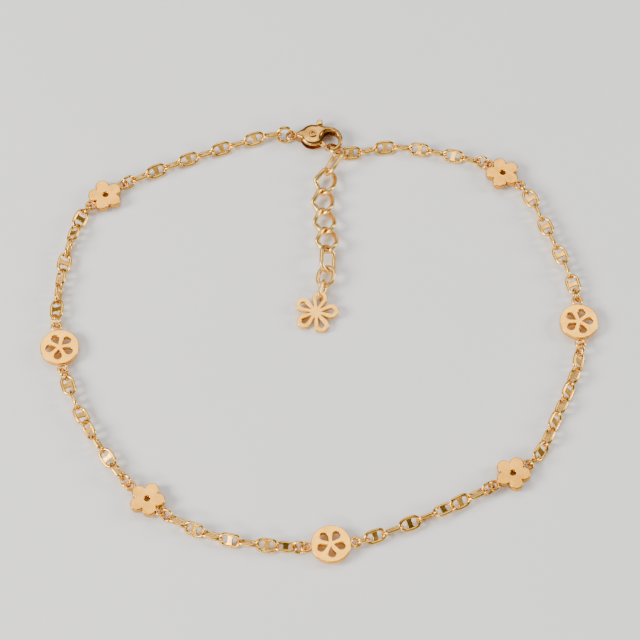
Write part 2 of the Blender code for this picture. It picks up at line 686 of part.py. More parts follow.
def main():
    for obj in list(bpy.data.objects):
        bpy.data.objects.remove(obj)
    parts = bpy.data.collections.new("station_bracelet")
    bpy.context.scene.collection.children.link(parts)
    carrier = bpy.data.objects.new("bracelet_origin", None)
    parts.objects.link(carrier)
    golds = {
        "chain": material("chain_gold", (0.80, 0.50, 0.26), 0.2),
        "ring": material("ring_gold", (0.82, 0.53, 0.28), 0.16),
        "station": material("station_gold", (0.78, 0.49, 0.25), 0.22),
        "clasp": material("clasp_gold", (0.76, 0.46, 0.22), 0.24),
        "extender": material("extender_gold", (0.82, 0.53, 0.29), 0.18),
        "drop": material("drop_gold", (0.80, 0.51, 0.27), 0.2),
    }
    nodes = []

    def add(name, mesh, matrix, gold):
        mesh.name = name
        mesh.shade_smooth()
        mesh.set_sharp_from_angle(angle=math.radians(40))
        mesh.materials.clear()
        mesh.materials.append(golds[gold])
        obj = bpy.data.objects.new(name, mesh)
        obj.parent = carrier
        obj.matrix_world = matrix
        parts.objects.link(obj)
        nodes.append(obj)

    disc_mesh, disc_reach = pierced_disc()
    blossom_mesh, at_notch, at_petal = blossom()
    train, heights = build_train(at_notch, at_petal, disc_reach)

    # The clasp and its hook ring are one rigid stretch of the train
    tail_eye = Link("tail", 0, 0, (TAIL_EYELET_DIAMETER - TAIL_EYELET_WIRE) / 2, TAIL_EYELET_WIRE, 0)
    ring_on_hook = hook_ring_matrix()
    hook_ring = ring_link("hook_ring", HOOK_RING_DIAMETER, HOOK_RING_WIRE, 0)
    depths = [CHAIN_ON_RING_DEPTH]
    depths += [joint_depth(train[i], train[i + 1]) for i in range(len(train) - 1)]
    depths.append(hook_depth(train[-1].hook, tail_eye.hook, CLASP_RING_ROLL, PLAY))
    reaches = []
    for i, link in enumerate(train):
        reaches.append(link.end - link.start - depths[i] / 2 - depths[i + 1] / 2)
    tail_x, tail_y = tail_eyelet_centre()
    clasp_start = Vector((tail_x - tail_eye.hook[0] + depths[-1] / 2, tail_y, 0))
    on_ring = hook_ring.end - depths[0] / 2
    clasp_end = ring_on_hook @ Vector((*polar(on_ring, CHAIN_ON_RING_DEG), 0))
    clasp_reach = (clasp_end - clasp_start).to_2d().length

    route = smooth_route(CHAIN_ROUTE, True)
    scale = close_route(route, reaches + [clasp_reach])
    spots, _ = walk(route * scale, route[0] * scale, reaches + [clasp_reach])
    first_height = CLASP_THICKNESS / 2 + clasp_end.z
    levels = [first_height] + heights
    train_spots = [(*spot, level) for spot, level in zip(spots, levels)]
    place_train(train, train_spots, depths)

    turned = Matrix.Rotation(heading(spots[-1] - spots[-2]) - heading(clasp_end - clasp_start), 4, "Z")
    clasp_shift = Vector((*spots[-2], CLASP_THICKNESS / 2)) - turned @ clasp_start
    clasp_matrix = Matrix.Translation(clasp_shift) @ turned

    # Chain stretches, fused from alternate links
    link_mesh = anchor_link()
    stretch = []
    number = 0
    for link in train + [None]:
        if link is not None and link.name == "link":
            stretch.append((link_mesh, link.matrix))
        elif stretch:
            number += 1
            place = stretch[len(stretch) // 2][1].to_translation()
            home = Matrix.Translation(place)
            local = [(mesh, home.inverted() @ matrix) for mesh, matrix in stretch]
            add(f"chain_{number}", union(gathered(local[::2]), gathered(local[1::2])), home, "chain")
            stretch = []

    # Stations and rings
    ring_mesh = round_ring(RING_DIAMETER, RING_WIRE)
    for link in train:
        if link.name.startswith("disc"):
            add(link.name, disc_mesh.copy(), link.matrix, "station")
        elif link.name.startswith("blossom"):
            add(link.name, blossom_mesh.copy(), link.matrix, "station")
        elif link.name.startswith("jump_ring"):
            add(link.name, ring_mesh.copy(), link.matrix, "ring")
        elif link.name == "clasp_ring":
            add(link.name, round_ring(CLASP_RING_DIAMETER, CLASP_RING_WIRE), link.matrix, "ring")
    add("hook_ring", round_ring(HOOK_RING_DIAMETER, HOOK_RING_WIRE), clasp_matrix @ ring_on_hook, "ring")
    add("clasp_body", clasp_body(), clasp_matrix, "clasp")
    add("clasp_lever", clasp_lever(), clasp_matrix, "clasp")

    # Extender and drop
    extender = []
    for i, roll in enumerate(EXTENDER_ROLLS):
        reach = (EXTENDER_LENGTH - EXTENDER_WIRE) / 2
        extender.append(Link(f"extender_link_{i + 1}", -reach, reach, (EXTENDER_WIDTH - EXTENDER_WIRE) / 2,
                             EXTENDER_WIRE, roll))
    end_reach = (END_RING_LENGTH - END_RING_WIRE) / 2
    extender.append(Link("end_ring", -end_reach, end_reach, (END_RING_WIDTH - END_RING_WIRE) / 2,
                         END_RING_WIRE, END_RING_ROLL))
    drop_reach = (DROP_RING_LENGTH - DROP_RING_WIRE) / 2
    extender.append(Link("drop_ring", -drop_reach, drop_reach, (DROP_RING_WIDTH - DROP_RING_WIRE) / 2,
                         DROP_RING_WIRE, DROP_RING_ROLL))
    petal_hook = (DROP_PETAL_RADIUS - DROP_BAND / 2, math.hypot(DROP_BAND, DROP_THICKNESS))
    turns = extender_turns(extender)
    drop_depths = [EXTENDER_ON_RING_DEPTH]
    for i in range(len(extender) - 1):
        drop_depths.append(hook_depth(extender[i].hook, extender[i + 1].hook, turns[i], EXTENDER_PLAY))
    drop_depths.append(hook_depth(extender[-1].hook, petal_hook, DROP_RING_ROLL, PLAY))
    drop_reaches = []
    for i, link in enumerate(extender):
        drop_reaches.append(link.end - link.start - drop_depths[i] / 2 - drop_depths[i + 1] / 2)
    on_ring = hook_ring.end - drop_depths[0] / 2
    extender_start = clasp_matrix @ ring_on_hook @ Vector((*polar(on_ring, EXTENDER_ON_RING_DEG), 0))
    extender_route = smooth_route(EXTENDER_ROUTE, False) + np.array(extender_start.to_2d())
    drop_hole = DROP_PETAL_CENTRE + petal_hook[0]
    line, _ = walk(extender_route, extender_route[0], drop_reaches + [drop_hole])
    drop_levels = [extender_start.z] + list(EXTENDER_HEIGHTS) + [DROP_HEIGHT]
    line = [(*spot, level) for spot, level in zip(line, drop_levels)]
    place_train(extender, line, drop_depths)
    twisted = wire_loop(curb_path(EXTENDER_LENGTH - EXTENDER_WIRE, EXTENDER_WIDTH - EXTENDER_WIRE),
                        EXTENDER_WIRE)
    plain = wire_loop(oval_path(EXTENDER_LENGTH - EXTENDER_WIRE, EXTENDER_WIDTH - EXTENDER_WIRE),
                      EXTENDER_WIRE)
    end_oval = wire_loop(oval_path(END_RING_LENGTH - END_RING_WIRE, END_RING_WIDTH - END_RING_WIRE),
                         END_RING_WIRE)
    drop_oval = wire_loop(oval_path(DROP_RING_LENGTH - DROP_RING_WIRE, DROP_RING_WIDTH - DROP_RING_WIRE),
                          DROP_RING_WIRE)
    for link in extender:
        if link.name == "end_ring":
            mesh = end_oval
        elif link.name == "drop_ring":
            mesh = drop_oval
        elif link.roll == 0:
            mesh = twisted.copy()
        else:
            mesh = plain.copy()
        add(link.name, mesh, link.matrix, "extender")
    hole_end, beyond = Vector(line[-2]), Vector(line[-1])
    along = (beyond - hole_end).normalized()
    middle = hole_end + along * (drop_hole - drop_depths[-1] / 2)
    drop_turn = Matrix.Rotation(math.radians(180), 4, "Z")
    drop_matrix = Matrix.Translation(middle) @ frame_along(hole_end, beyond, 0) @ drop_turn
    add("flower_drop", flower_drop(), drop_matrix, "drop")

    # The origin is under the middle of the whole bracelet, on the surface
    bpy.context.view_layer.update()
    low = Vector((1e3, 1e3, 1e3))
    high = -low
    for obj in nodes:
        for vertex in obj.data.vertices:
            spot = obj.matrix_world @ vertex.co
            low = Vector(map(min, low, spot))
            high = Vector(map(max, high, spot))
    carrier.location = (-(low.x + high.x) / 2, -(low.y + high.y) / 2, -low.z)
    bpy.context.view_layer.update()
    pivot = carrier.matrix_world @ clasp_matrix.to_translation()
    print("route scale", scale, "size", high - low, "lever pivot", pivot)


def extender_turns(extender):
    """Angle between the facing ends of neighbouring extender links."""
    turns = []
    for first, second in zip(extender, extender[1:]):
        first_end = first.roll + (EXTENDER_TWIST_DEG / 2 if first.roll == 0 else 0)
        second_start = second.roll - (EXTENDER_TWIST_DEG / 2 if second.roll == 0 else 0)
        turns.append(second_start - first_end)
    return turns


main()
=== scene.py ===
import json
import math
from itertools import groupby

import bmesh
import bpy
import numpy as np
from mathutils import Matrix, Vector
from mathutils.geometry import tessellate_polygon


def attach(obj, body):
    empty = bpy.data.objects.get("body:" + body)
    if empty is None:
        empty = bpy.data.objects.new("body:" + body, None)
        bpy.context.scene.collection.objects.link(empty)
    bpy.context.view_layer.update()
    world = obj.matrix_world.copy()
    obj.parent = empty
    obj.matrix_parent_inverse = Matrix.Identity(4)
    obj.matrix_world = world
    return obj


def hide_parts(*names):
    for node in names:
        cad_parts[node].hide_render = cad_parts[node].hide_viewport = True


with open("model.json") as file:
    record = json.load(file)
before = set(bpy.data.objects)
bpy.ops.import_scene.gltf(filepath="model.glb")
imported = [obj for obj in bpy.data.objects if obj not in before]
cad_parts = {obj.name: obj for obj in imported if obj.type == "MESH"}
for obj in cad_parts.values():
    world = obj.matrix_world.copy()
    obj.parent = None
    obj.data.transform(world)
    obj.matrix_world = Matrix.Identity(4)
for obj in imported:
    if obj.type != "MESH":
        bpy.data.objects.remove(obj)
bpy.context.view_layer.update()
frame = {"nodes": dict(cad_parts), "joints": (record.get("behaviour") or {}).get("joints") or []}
print("frame loaded with", len(frame["nodes"]), "nodes")

# Camera at the photo's angle, on the bracelet's middle line
view = {"elevation": 61.5, "distance": 0.3109, "aim": (0.0, 0.0021, 0.0), "lens": 146.6, "sensor": 36.0,
        "clip": (0.01, 20.0)}


def makeCamera():
    lens = bpy.data.cameras.new("photoCamera")
    lens.lens = view["lens"]
    lens.sensor_width = view["sensor"]
    lens.clip_start, lens.clip_end = view["clip"]
    camera = bpy.data.objects.new("photoCamera", lens)
    lift = math.radians(view["elevation"])
    away = Vector((0.0, -math.cos(lift), math.sin(lift)))
    camera.location = Vector(view["aim"]) + away * view["distance"]
    camera.rotation_euler = (math.pi / 2 - lift, 0.0, 0.0)
    bpy.context.scene.collection.objects.link(camera)
    bpy.context.scene.camera = camera


makeCamera()


# Polished golds: tone in three steps, haze on the polish, hairlines and a soft waviness
goldFinishes = {
    "chain_gold": {"deep": (0.54, 0.28, 0.05), "base": (0.93, 0.50, 0.08), "pale": (1.0, 0.62, 0.15),
                   "toneSize": 0.0011, "polish": (0.17, 0.29), "hairline": 0.0000011, "wave": 0.0000040},
    "ring_gold": {"deep": (0.58, 0.30, 0.05), "base": (0.94, 0.52, 0.09), "pale": (1.0, 0.64, 0.17),
                  "toneSize": 0.0012, "polish": (0.16, 0.26), "hairline": 0.0000009, "wave": 0.0000032},
    "station_gold": {"deep": (0.84, 0.40, 0.04), "base": (0.95, 0.48, 0.055), "pale": (1.0, 0.55, 0.085),
                     "toneSize": 0.0018, "polish": (0.16, 0.28), "hairline": 0.0000010, "wave": 0.0000022},
    "clasp_gold": {"deep": (0.34, 0.17, 0.035), "base": (0.58, 0.29, 0.06), "pale": (0.90, 0.50, 0.15),
                   "toneSize": 0.0015, "polish": (0.20, 0.32), "hairline": 0.0000010, "wave": 0.0000032},
    "extender_gold": {"deep": (0.74, 0.43, 0.10), "base": (0.97, 0.60, 0.16), "pale": (1.0, 0.71, 0.26),
                      "toneSize": 0.0014, "polish": (0.26, 0.37), "hairline": 0.0000010, "wave": 0.0000045},
    "drop_gold": {"deep": (0.78, 0.39, 0.05), "base": (0.96, 0.50, 0.075), "pale": (1.0, 0.60, 0.14),
                  "toneSize": 0.0016, "polish": (0.14, 0.25), "hairline": 0.0000010, "wave": 0.0000027},
}

# The solid blossoms look a shade deeper than the pierced discs
blossomTone = {"deep": (0.60, 0.28, 0.03), "base": (0.80, 0.38, 0.045), "pale": (0.94, 0.49, 0.085),
               "toneSize": 0.0018, "polish": (0.19, 0.31), "hairline": 0.0000010, "wave": 0.0000024}

# What all golds share: the scales of their noises and where the tones, the rubbed edges and the painted shade
# of the hollows lie
metal = {
    "toneStops": (0.3, 0.52, 0.78), "hazeScale": 3200.0, "hazeSpan": (0.3, 0.72), "waveScale": 1900.0,
    "hairScale": (16000.0, 1400.0, 3000.0), "hairTurn": 0.6, "rubbedAndShadeSpan": (0.48, 0.58), "rubbedAndShadeShare": 0.2,
    "waveStrength": 0.7, "hairStrength": 0.6,
}


def addNode(tree, kind, settings=None, **links):
    node = tree.nodes.new(kind)
    for name, value in (settings or {}).items():
        if name in node.inputs:
            node.inputs[name].default_value = value
        else:
            setattr(node, name, value)
    for name, source in links.items():
        tree.links.new(source, node.inputs[name])
    return node


def mathNode(tree, operation, *terms):
    # each term is a number or another node's output
    node = addNode(tree, "ShaderNodeMath", {"operation": operation})
    for entry, term in zip(node.inputs, terms):
        if isinstance(term, float):
            entry.default_value = term
        else:
            tree.links.new(term, entry)
    return node.outputs[0]


def colourRamp(tree, factor, stops):
    ramp = tree.nodes.new("ShaderNodeValToRGB")
    tree.links.new(factor, ramp.inputs["Fac"])
    elements = ramp.color_ramp.elements
    while len(elements) < len(stops):
        elements.new(0.5)
    for element, (place, colour) in zip(elements, stops):
        element.position = place
        element.color = (*colour, 1.0)
    return ramp.outputs["Color"]


def makeGold(slotName, look):
    gold = bpy.data.materials.new(slotName.replace("_gold", "Gold"))
    gold.use_nodes = True
    tree = gold.node_tree
    shader = tree.nodes["Principled BSDF"]
    shader.inputs["Metallic"].default_value = 1.0
    place = addNode(tree, "ShaderNodeTexCoord").outputs["Object"]
    tone = addNode(tree, "ShaderNodeTexNoise", {"Scale": 1 / look["toneSize"], "Detail": 3.0}, Vector=place)
    haze = addNode(tree, "ShaderNodeTexNoise", {"Scale": metal["hazeScale"], "Detail": 4.0, "Roughness": 0.6},
                   Vector=place)
    wave = addNode(tree, "ShaderNodeTexNoise", {"Scale": metal["waveScale"], "Detail": 1.5}, Vector=place)
    stretched = addNode(tree, "ShaderNodeMapping",
                        {"Scale": metal["hairScale"], "Rotation": (0.0, 0.0, metal["hairTurn"])},
                        Vector=place)
    hairs = addNode(tree, "ShaderNodeTexNoise", {"Scale": 1.0, "Detail": 2.0}, Vector=stretched.outputs[0])

    # Edges and rims are painted paler than the hollows by their pointiness: partly rubbed wear on the edges,
    # partly painted shade that leaves the hollows darker
    edge = addNode(tree, "ShaderNodeNewGeometry").outputs["Pointiness"]
    low, high = metal["rubbedAndShadeSpan"]
    # painted shade: this mask makes the hollows darker than the flats and edges
    rubbedAndShade = addNode(tree, "ShaderNodeMapRange", {"From Min": low, "From Max": high}, Value=edge)
    rubbedAndShadeTone = mathNode(tree, "MULTIPLY", rubbedAndShade.outputs["Result"], metal["rubbedAndShadeShare"])
    toneTotal = mathNode(tree, "MULTIPLY_ADD", tone.outputs["Fac"], 1 - metal["rubbedAndShadeShare"], rubbedAndShadeTone)
    stops = list(zip(metal["toneStops"], (look["deep"], look["base"], look["pale"])))
    tree.links.new(colourRamp(tree, toneTotal, stops), shader.inputs["Base Color"])

    # Haze on the polish
    low, high = metal["hazeSpan"]
    smooth, dull = look["polish"]
    gloss = addNode(tree, "ShaderNodeMapRange",
                    {"From Min": low, "From Max": high, "To Min": smooth, "To Max": dull},
                    Value=haze.outputs["Fac"])
    tree.links.new(gloss.outputs["Result"], shader.inputs["Roughness"])

    # Soft waviness with fine hairlines over it
    softBump = addNode(tree, "ShaderNodeBump", {"Strength": metal["waveStrength"], "Distance": look["wave"]},
                       Height=wave.outputs["Fac"])
    fineBump = addNode(tree, "ShaderNodeBump",
                       {"Strength": metal["hairStrength"], "Distance": look["hairline"]},
                       Height=hairs.outputs["Fac"], Normal=softBump.outputs["Normal"])
    tree.links.new(fineBump.outputs["Normal"], shader.inputs["Normal"])
    return gold


golds = {slotName: makeGold(slotName, look) for slotName, look in goldFinishes.items()}
blossomGold = makeGold("blossom_gold", blossomTone)
print("golds ready:", ", ".join(sorted(golds)))


def polar(radius, degrees):
    return (radius * math.cos(math.radians(degrees)), radius * math.sin(math.radians(degrees)))


def arc(centreX, centreY, radius, startDeg, endDeg, count):
    angles = np.radians(np.linspace(startDeg, endDeg, count))
    return [(centreX + radius * math.cos(a), centreY + radius * math.sin(a)) for a in angles]


def circle(radius, count):
    return arc(0, 0, radius, 0, 360, count + 1)[:-1]


def between(start, end, shares):
    # points on a straight flank, at these shares of its length
    start, end = np.array(start), np.array(end)
    return [tuple(start + (end - start) * share) for share in shares]


def smallest(least, most, rounds, passes):
    # the smallest value that passes, found by halving
    for _ in range(rounds):
        middle = (least + most) / 2
        if passes(middle):
            most = middle
        else:
            least = middle
    return most


def closedMesh(points, faces):
    mesh = bpy.data.meshes.new("shape")
    mesh.from_pydata([tuple(point) for point in points], [], faces)
    shape = bmesh.new()
    shape.from_mesh(mesh)
    bmesh.ops.recalc_face_normals(shape, faces=shape.faces)
    shape.to_mesh(mesh)
    shape.free()
    return mesh


def ringOfFaces(first, second, count):
    # quads between two loops of points, each given by its first index
    return [(first + j, first + (j + 1) % count, second + (j + 1) % count, second + j) for j in range(count)]


def wireLoop(path, wire, sides, turns=None, flat=1.0):
    # a closed wire along a loop; turns roll its section where the loop is twisted about X
    path = np.array(path, float)
    count = len(path)
    if path.shape[1] == 2:
        path = np.column_stack([path, np.zeros(count)])
    turns = np.zeros(count) if turns is None else np.array(turns)
    along = np.roll(path, -1, axis=0) - np.roll(path, 1, axis=0)
    along /= np.linalg.norm(along, axis=1)[:, None]
    up = np.column_stack([np.zeros(count), -np.sin(turns), np.cos(turns)])
    up -= along * np.sum(along * up, axis=1)[:, None]
    up /= np.linalg.norm(up, axis=1)[:, None]
    out = np.cross(along, up)
    angles = (np.arange(sides) / sides * math.tau)[None, :, None]
    section = np.cos(angles) * out[:, None, :] + flat * np.sin(angles) * up[:, None, :]
    points = (path[:, None, :] + section * wire / 2).reshape(-1, 3)
    faces = []
    for i in range(count):
        faces += ringOfFaces(i * sides, (i + 1) % count * sides, sides)
    return closedMesh(points, faces)


def inwards(loop):
    # mitred step into the metal at each point of a loop that has the metal on its left
    ahead = np.roll(loop, -1, axis=0) - loop
    ahead /= np.linalg.norm(ahead, axis=1)[:, None]
    left = np.column_stack([-ahead[:, 1], ahead[:, 0]])
    before = np.roll(left, 1, axis=0)
    share = np.maximum(1.0 + np.sum(left * before, axis=1), 0.5)
    return (left + before) / share[:, None]


# A plate's flat starts this much further in than its rounded edge
flatStart = 1.25


def edgeProfile(thickness, edge, fall, steps):
    # inset and height from the top of a plate to its bottom, rounded over an inset and a fall
    half = thickness / 2
    top = [(0.0, half)]
    if edge > 0.0:
        bend = np.radians(np.linspace(0, 90, steps + 1))
        top = [(edge * flatStart, half)]
        top += [(edge * (1 - math.sin(a)), half - fall * (1 - math.cos(a))) for a in bend]
    return top + [(inset, -z) for inset, z in reversed(top)]


def plate(loops, thickness, edge=0.0, fall=None, steps=4, edgeShare=None, heightShare=None):
    # a flat plate from an outline and its holes; the shares vary the edge and the height along them
    profile = edgeProfile(thickness, edge, edge if fall is None else fall, steps)
    outlines = []
    for number, loop in enumerate(loops):
        loop = np.array(loop, float)
        area = np.sum(loop[:, 0] * np.roll(loop[:, 1], -1) - loop[:, 1] * np.roll(loop[:, 0], -1))
        outlines.append(loop if (area > 0) == (number == 0) else loop[::-1])
    rim = np.concatenate(outlines)
    inset = np.concatenate([inwards(loop) for loop in outlines])
    if edgeShare is not None:
        inset = inset * np.array([edgeShare(*spot) for spot in rim])[:, None]
    tall = np.ones(len(rim))
    if heightShare is not None:
        tall = np.array([heightShare(*spot) for spot in rim])
    points = []
    for reach, z in profile:
        points += np.column_stack([rim + inset * reach, tall * z]).tolist()
    faces = []
    total = len(rim)
    for level in range(len(profile) - 1):
        first = level * total
        for loop in outlines:
            faces += ringOfFaces(first, first + total, len(loop))
            first += len(loop)
    flats = []
    first = 0
    for loop in outlines:
        flats.append([Vector((x, y, 0.0)) for x, y, _ in points[first:first + len(loop)]])
        first += len(loop)
    for triangle in tessellate_polygon(flats):
        faces.append(tuple(triangle))
        faces.append(tuple(index + total * (len(profile) - 1) for index in triangle))
    return closedMesh(points, faces)


def gathered(pieces):
    shape = bmesh.new()
    for mesh, matrix in pieces:
        first = len(shape.verts)
        shape.from_mesh(mesh)
        shape.verts.ensure_lookup_table()
        bmesh.ops.transform(shape, matrix=matrix, verts=shape.verts[first:])
    mesh = bpy.data.meshes.new("shape")
    shape.to_mesh(mesh)
    shape.free()
    return mesh


def moved(mesh, x=0.0, y=0.0, z=0.0):
    return gathered([(mesh, Matrix.Translation((x, y, z)))])


def carved(first, second, operation="DIFFERENCE"):
    # cut the second closed mesh from the first, or solder it on with UNION
    tool = bpy.data.objects.new("tool", second)
    work = bpy.data.objects.new("work", first)
    for obj in (tool, work):
        bpy.context.scene.collection.objects.link(obj)
    cut = work.modifiers.new("cut", "BOOLEAN")
    cut.operation = operation
    cut.object = tool
    graph = bpy.context.evaluated_depsgraph_get()
    mesh = bpy.data.meshes.new_from_object(work.evaluated_get(graph))
    for obj in (tool, work):
        bpy.data.objects.remove(obj)
    return mesh


def soldered(first, second):
    return carved(first, second, "UNION")


# Chain of oval anchor links; each row of rolls is a stretch between two stations
chain = {
    "length": 0.00268, "width": 0.00165, "wire": 0.0003, "thicker": 1.36, "bow": 0.2, "contact": -0.00006,
    "endPoints": 15, "sidePoints": 7, "sides": 12,
    "barWidth": 0.00063, "barThickness": 0.00024, "barEdge": 0.00007,
    # the bar flares towards the wire: shares of its half width, and of the way from the middle to the wire
    "barFlare": [(1.0, 0.3), (1.06, 0.52), (1.2, 0.68), (1.42, 0.81), (1.65, 0.94)],
    "rolls": [
        (42, -45, 45, -45, 45, -45, 45, -45),
        (15, 105, 15, 105, 15, 105, 15),
        (-45, 45, -45, 45, -45, 45, -45),
        (45, -40, 20, 80, -20, 60, -35),
        (25, -35, 50, -40, 45, -45, 45),
        (50, -25, 65, -55, 15, 85, -10),
        (-15, 75, -45, 15, 85, -35, 25),
        (-45, 45, -45, 45, -45, 45, -45, 45, -45),
    ],
    "route": [
        (0.0032, 0.0255), (0.0080, 0.0264), (0.0120, 0.0262), (0.0160, 0.0253),
        (0.0200, 0.0243), (0.0233, 0.0227), (0.0259, 0.0193), (0.0277, 0.0150),
        (0.0306, 0.0074), (0.0313, 0.0015), (0.0308, -0.0040), (0.0277, -0.0116),
        (0.0252, -0.0165), (0.0195, -0.0203), (0.0109, -0.0245), (0.0016, -0.0275),
        (-0.0100, -0.0267), (-0.0172, -0.0237), (-0.0224, -0.0191), (-0.0278, -0.0108),
        (-0.0309, -0.0020), (-0.0312, 0.0060), (-0.0297, 0.0142), (-0.0275, 0.0184),
        (-0.0226, 0.0217), (-0.0119, 0.0262), (-0.0042, 0.0281),
    ],
}

# Round rings, by diameter and wire, and the play between pieces that hang in each other
rings = {
    "jump": (0.0018, 0.00032), "clasp": (0.0023, 0.0004), "hook": (0.0029, 0.00044), "play": 0.00009,
    "points": 56, "sides": 16, "thicker": 1.08, "claspRoll": 57, "claspHeights": (0.0009, 0.00108),
}

# Stations: turn of the ring before, motif, turn of the ring after
stations = {
    "height": 0.00073,
    "order": [
        (60, "blossom", -62), (-60, "disc", 62), (62, "blossom", -60), (60, "disc", -60),
        (-62, "blossom", -62), (62, "disc", 60), (-60, "blossom", 62),
    ],
}


def ovalPath(length, width, endPoints, sidePoints):
    # centre line of an oval along X
    radius = width / 2
    shift = (length - width) / 2
    right = arc(shift, 0, radius, -90, 90, endPoints)
    left = arc(-shift, 0, radius, 90, 270, endPoints)
    run = [(x, radius) for x in np.linspace(shift, -shift, sidePoints + 2)[1:-1]]
    return right + run + left + [(-x, -y) for x, y in run]


def anchorLink():
    path = ovalPath(chain["length"] - chain["wire"], chain["width"] - chain["wire"], chain["endPoints"],
                    chain["sidePoints"])
    # bowed sides: widest at the bar
    path = [(x, y * (1.0 - chain["bow"] * (2 * x / chain["length"]) ** 2)) for x, y in path]
    oval = wireLoop(path, chain["wire"] * chain["thicker"], chain["sides"])
    reach = (chain["width"] - chain["wire"]) / 2
    half = chain["barWidth"] / 2
    upper = [(half * wide, reach * out) for wide, out in chain["barFlare"]]
    outline = [(x, -y) for x, y in reversed(upper)] + upper
    outline += [(-x, -y) for x, y in outline]
    bar = plate([outline], chain["barThickness"], chain["barEdge"], steps=3)
    return gathered([(oval, Matrix.Identity(4)), (bar, Matrix.Identity(4))])


def roundRing(size):
    diameter, wire = size
    return wireLoop(circle((diameter - wire) / 2, rings["points"]), wire * rings["thicker"], rings["sides"])


def bendPoints(endX, radius, rollDeg, towards):
    # the bent end of a link: nearly a half circle that ends at endX
    angles = np.radians(np.linspace(-85, 85, 69))
    turn = math.radians(rollDeg)
    x = endX + towards * radius * (1.0 - np.cos(angles))
    side = radius * np.sin(angles)
    return np.column_stack([x, side * math.cos(turn), side * math.sin(turn)])


def hookDepth(first, second, rollDeg, gap):
    # how far two hooked wires reach into each other, each given by its bend radius and wire
    wires = first[1] + second[1]
    two = bendPoints(0.0, second[0], rollDeg, 1)

    def clears(depth):
        one = bendPoints(depth, first[0], 0.0, -1)
        return np.linalg.norm(one[:, None, :] - two[None, :, :], axis=2).min() >= wires / 2 + gap

    return smallest(0.0, 4.0 * wires, 24, clears)


def makeLink(name, start, end, radius, wire, roll):
    return {"name": name, "start": start, "end": end, "hook": (radius, wire), "roll": roll, "matrix": None}


def ovalLink(name, length, width, wire, roll):
    reach = (length - wire) / 2
    return makeLink(name, -reach, reach, (width - wire) / 2, wire, roll)


def frameAlong(start, end, rollDeg):
    along = (Vector(end) - Vector(start)).normalized()
    side = Vector((0, 0, 1)).cross(along).normalized()
    turn = math.radians(rollDeg)
    width = side * math.cos(turn) + along.cross(side) * math.sin(turn)
    return Matrix((along, width, along.cross(width))).transposed().to_4x4()


def smoothRoute(points, closed, perSpan=60):
    spots = [np.array(point) for point in points]
    count = len(spots)
    dense = []
    for i in range(count if closed else count - 1):
        near = [i + k for k in (-1, 0, 1, 2)]
        a, b, c, d = (spots[n % count] if closed else spots[min(max(n, 0), count - 1)] for n in near)
        for t in np.arange(perSpan) / perSpan:
            dense.append(0.5 * (2 * b + (c - a) * t + (2 * a - 5 * b + 4 * c - d) * t ** 2
                                + (3 * b - a - 3 * c + d) * t ** 3))
    return np.array(dense)


def walk(route, first, reaches):
    # points along a route at these chord lengths, and how far along it the last one is
    here = np.array(first)
    spots = [here]
    count = len(route)
    index, share = 0, 0.0
    for reach in reaches:
        while np.linalg.norm(route[(index + 1) % count] - here) < reach:
            index += 1
        before, after = route[index % count], route[(index + 1) % count]
        share = smallest(0.0, 1.0, 30,
                         lambda part: np.linalg.norm(before + (after - before) * part - here) >= reach)
        here = before + (after - before) * share
        spots.append(here)
    return spots, index + share


def closedRoute(route, reaches):
    # the route at the scale where the whole train of pieces closes on itself
    scale = smallest(0.5, 2.0, 40,
                     lambda size: walk(route * size, route[0] * size, reaches)[1] <= len(route))
    return route * scale


def placeTrain(train, spots, depths):
    for i, link in enumerate(train):
        start, end = Vector(spots[i]), Vector(spots[i + 1])
        centre = start - (end - start).normalized() * (depths[i] / 2 + link["start"])
        link["matrix"] = Matrix.Translation(centre) @ frameAlong(start, end, link["roll"])


# Pierced disc, solid blossom and the eyelets at their sides
disc = {
    "diameter": 0.0046, "thickness": 0.00065, "holeTip": 0.00042, "holeCentre": 0.00122, "holeRound": 0.00043,
    "edge": 0.00009, "petals": 5,
}
blossom = {
    "petalCentre": 0.00127, "petalRound": 0.00083, "thickness": 0.00085, "hole": 0.0006, "edge": 0.00012,
}
eyelet = {"diameter": 0.0014, "wire": 0.00036, "solder": 0.00014, "points": 40, "sides": 14}


def teardrop(tipRadius, centreRadius, roundRadius, degrees, count=22):
    lean = math.degrees(math.asin(roundRadius / (centreRadius - tipRadius)))
    tip = polar(tipRadius, degrees)
    bend = arc(*polar(centreRadius, degrees), roundRadius, degrees - 90 - lean, degrees + 90 + lean, count)
    return [tip] + between(tip, bend[0], (0.35, 0.7)) + bend + between(bend[-1], tip, (0.3, 0.65))


def petalAngles(firstDeg=0.0):
    return [firstDeg + 360.0 / disc["petals"] * i for i in range(disc["petals"])]


def eyeletRing(diameter, wire):
    return wireLoop(circle((diameter - wire) / 2, eyelet["points"]), wire, eyelet["sides"])


def withEyelets(mesh, spots):
    ring = eyeletRing(eyelet["diameter"], eyelet["wire"])
    for x in spots:
        mesh = soldered(mesh, moved(ring, x))
    return mesh


def piercedDisc():
    holes = [teardrop(disc["holeTip"], disc["holeCentre"], disc["holeRound"], degrees)
             for degrees in petalAngles(90.0)]
    reach = disc["diameter"] / 2 + eyelet["diameter"] / 2 - eyelet["solder"]
    body = plate([circle(disc["diameter"] / 2, 96)] + holes, disc["thickness"], disc["edge"])
    return withEyelets(body, (-reach, reach)), reach


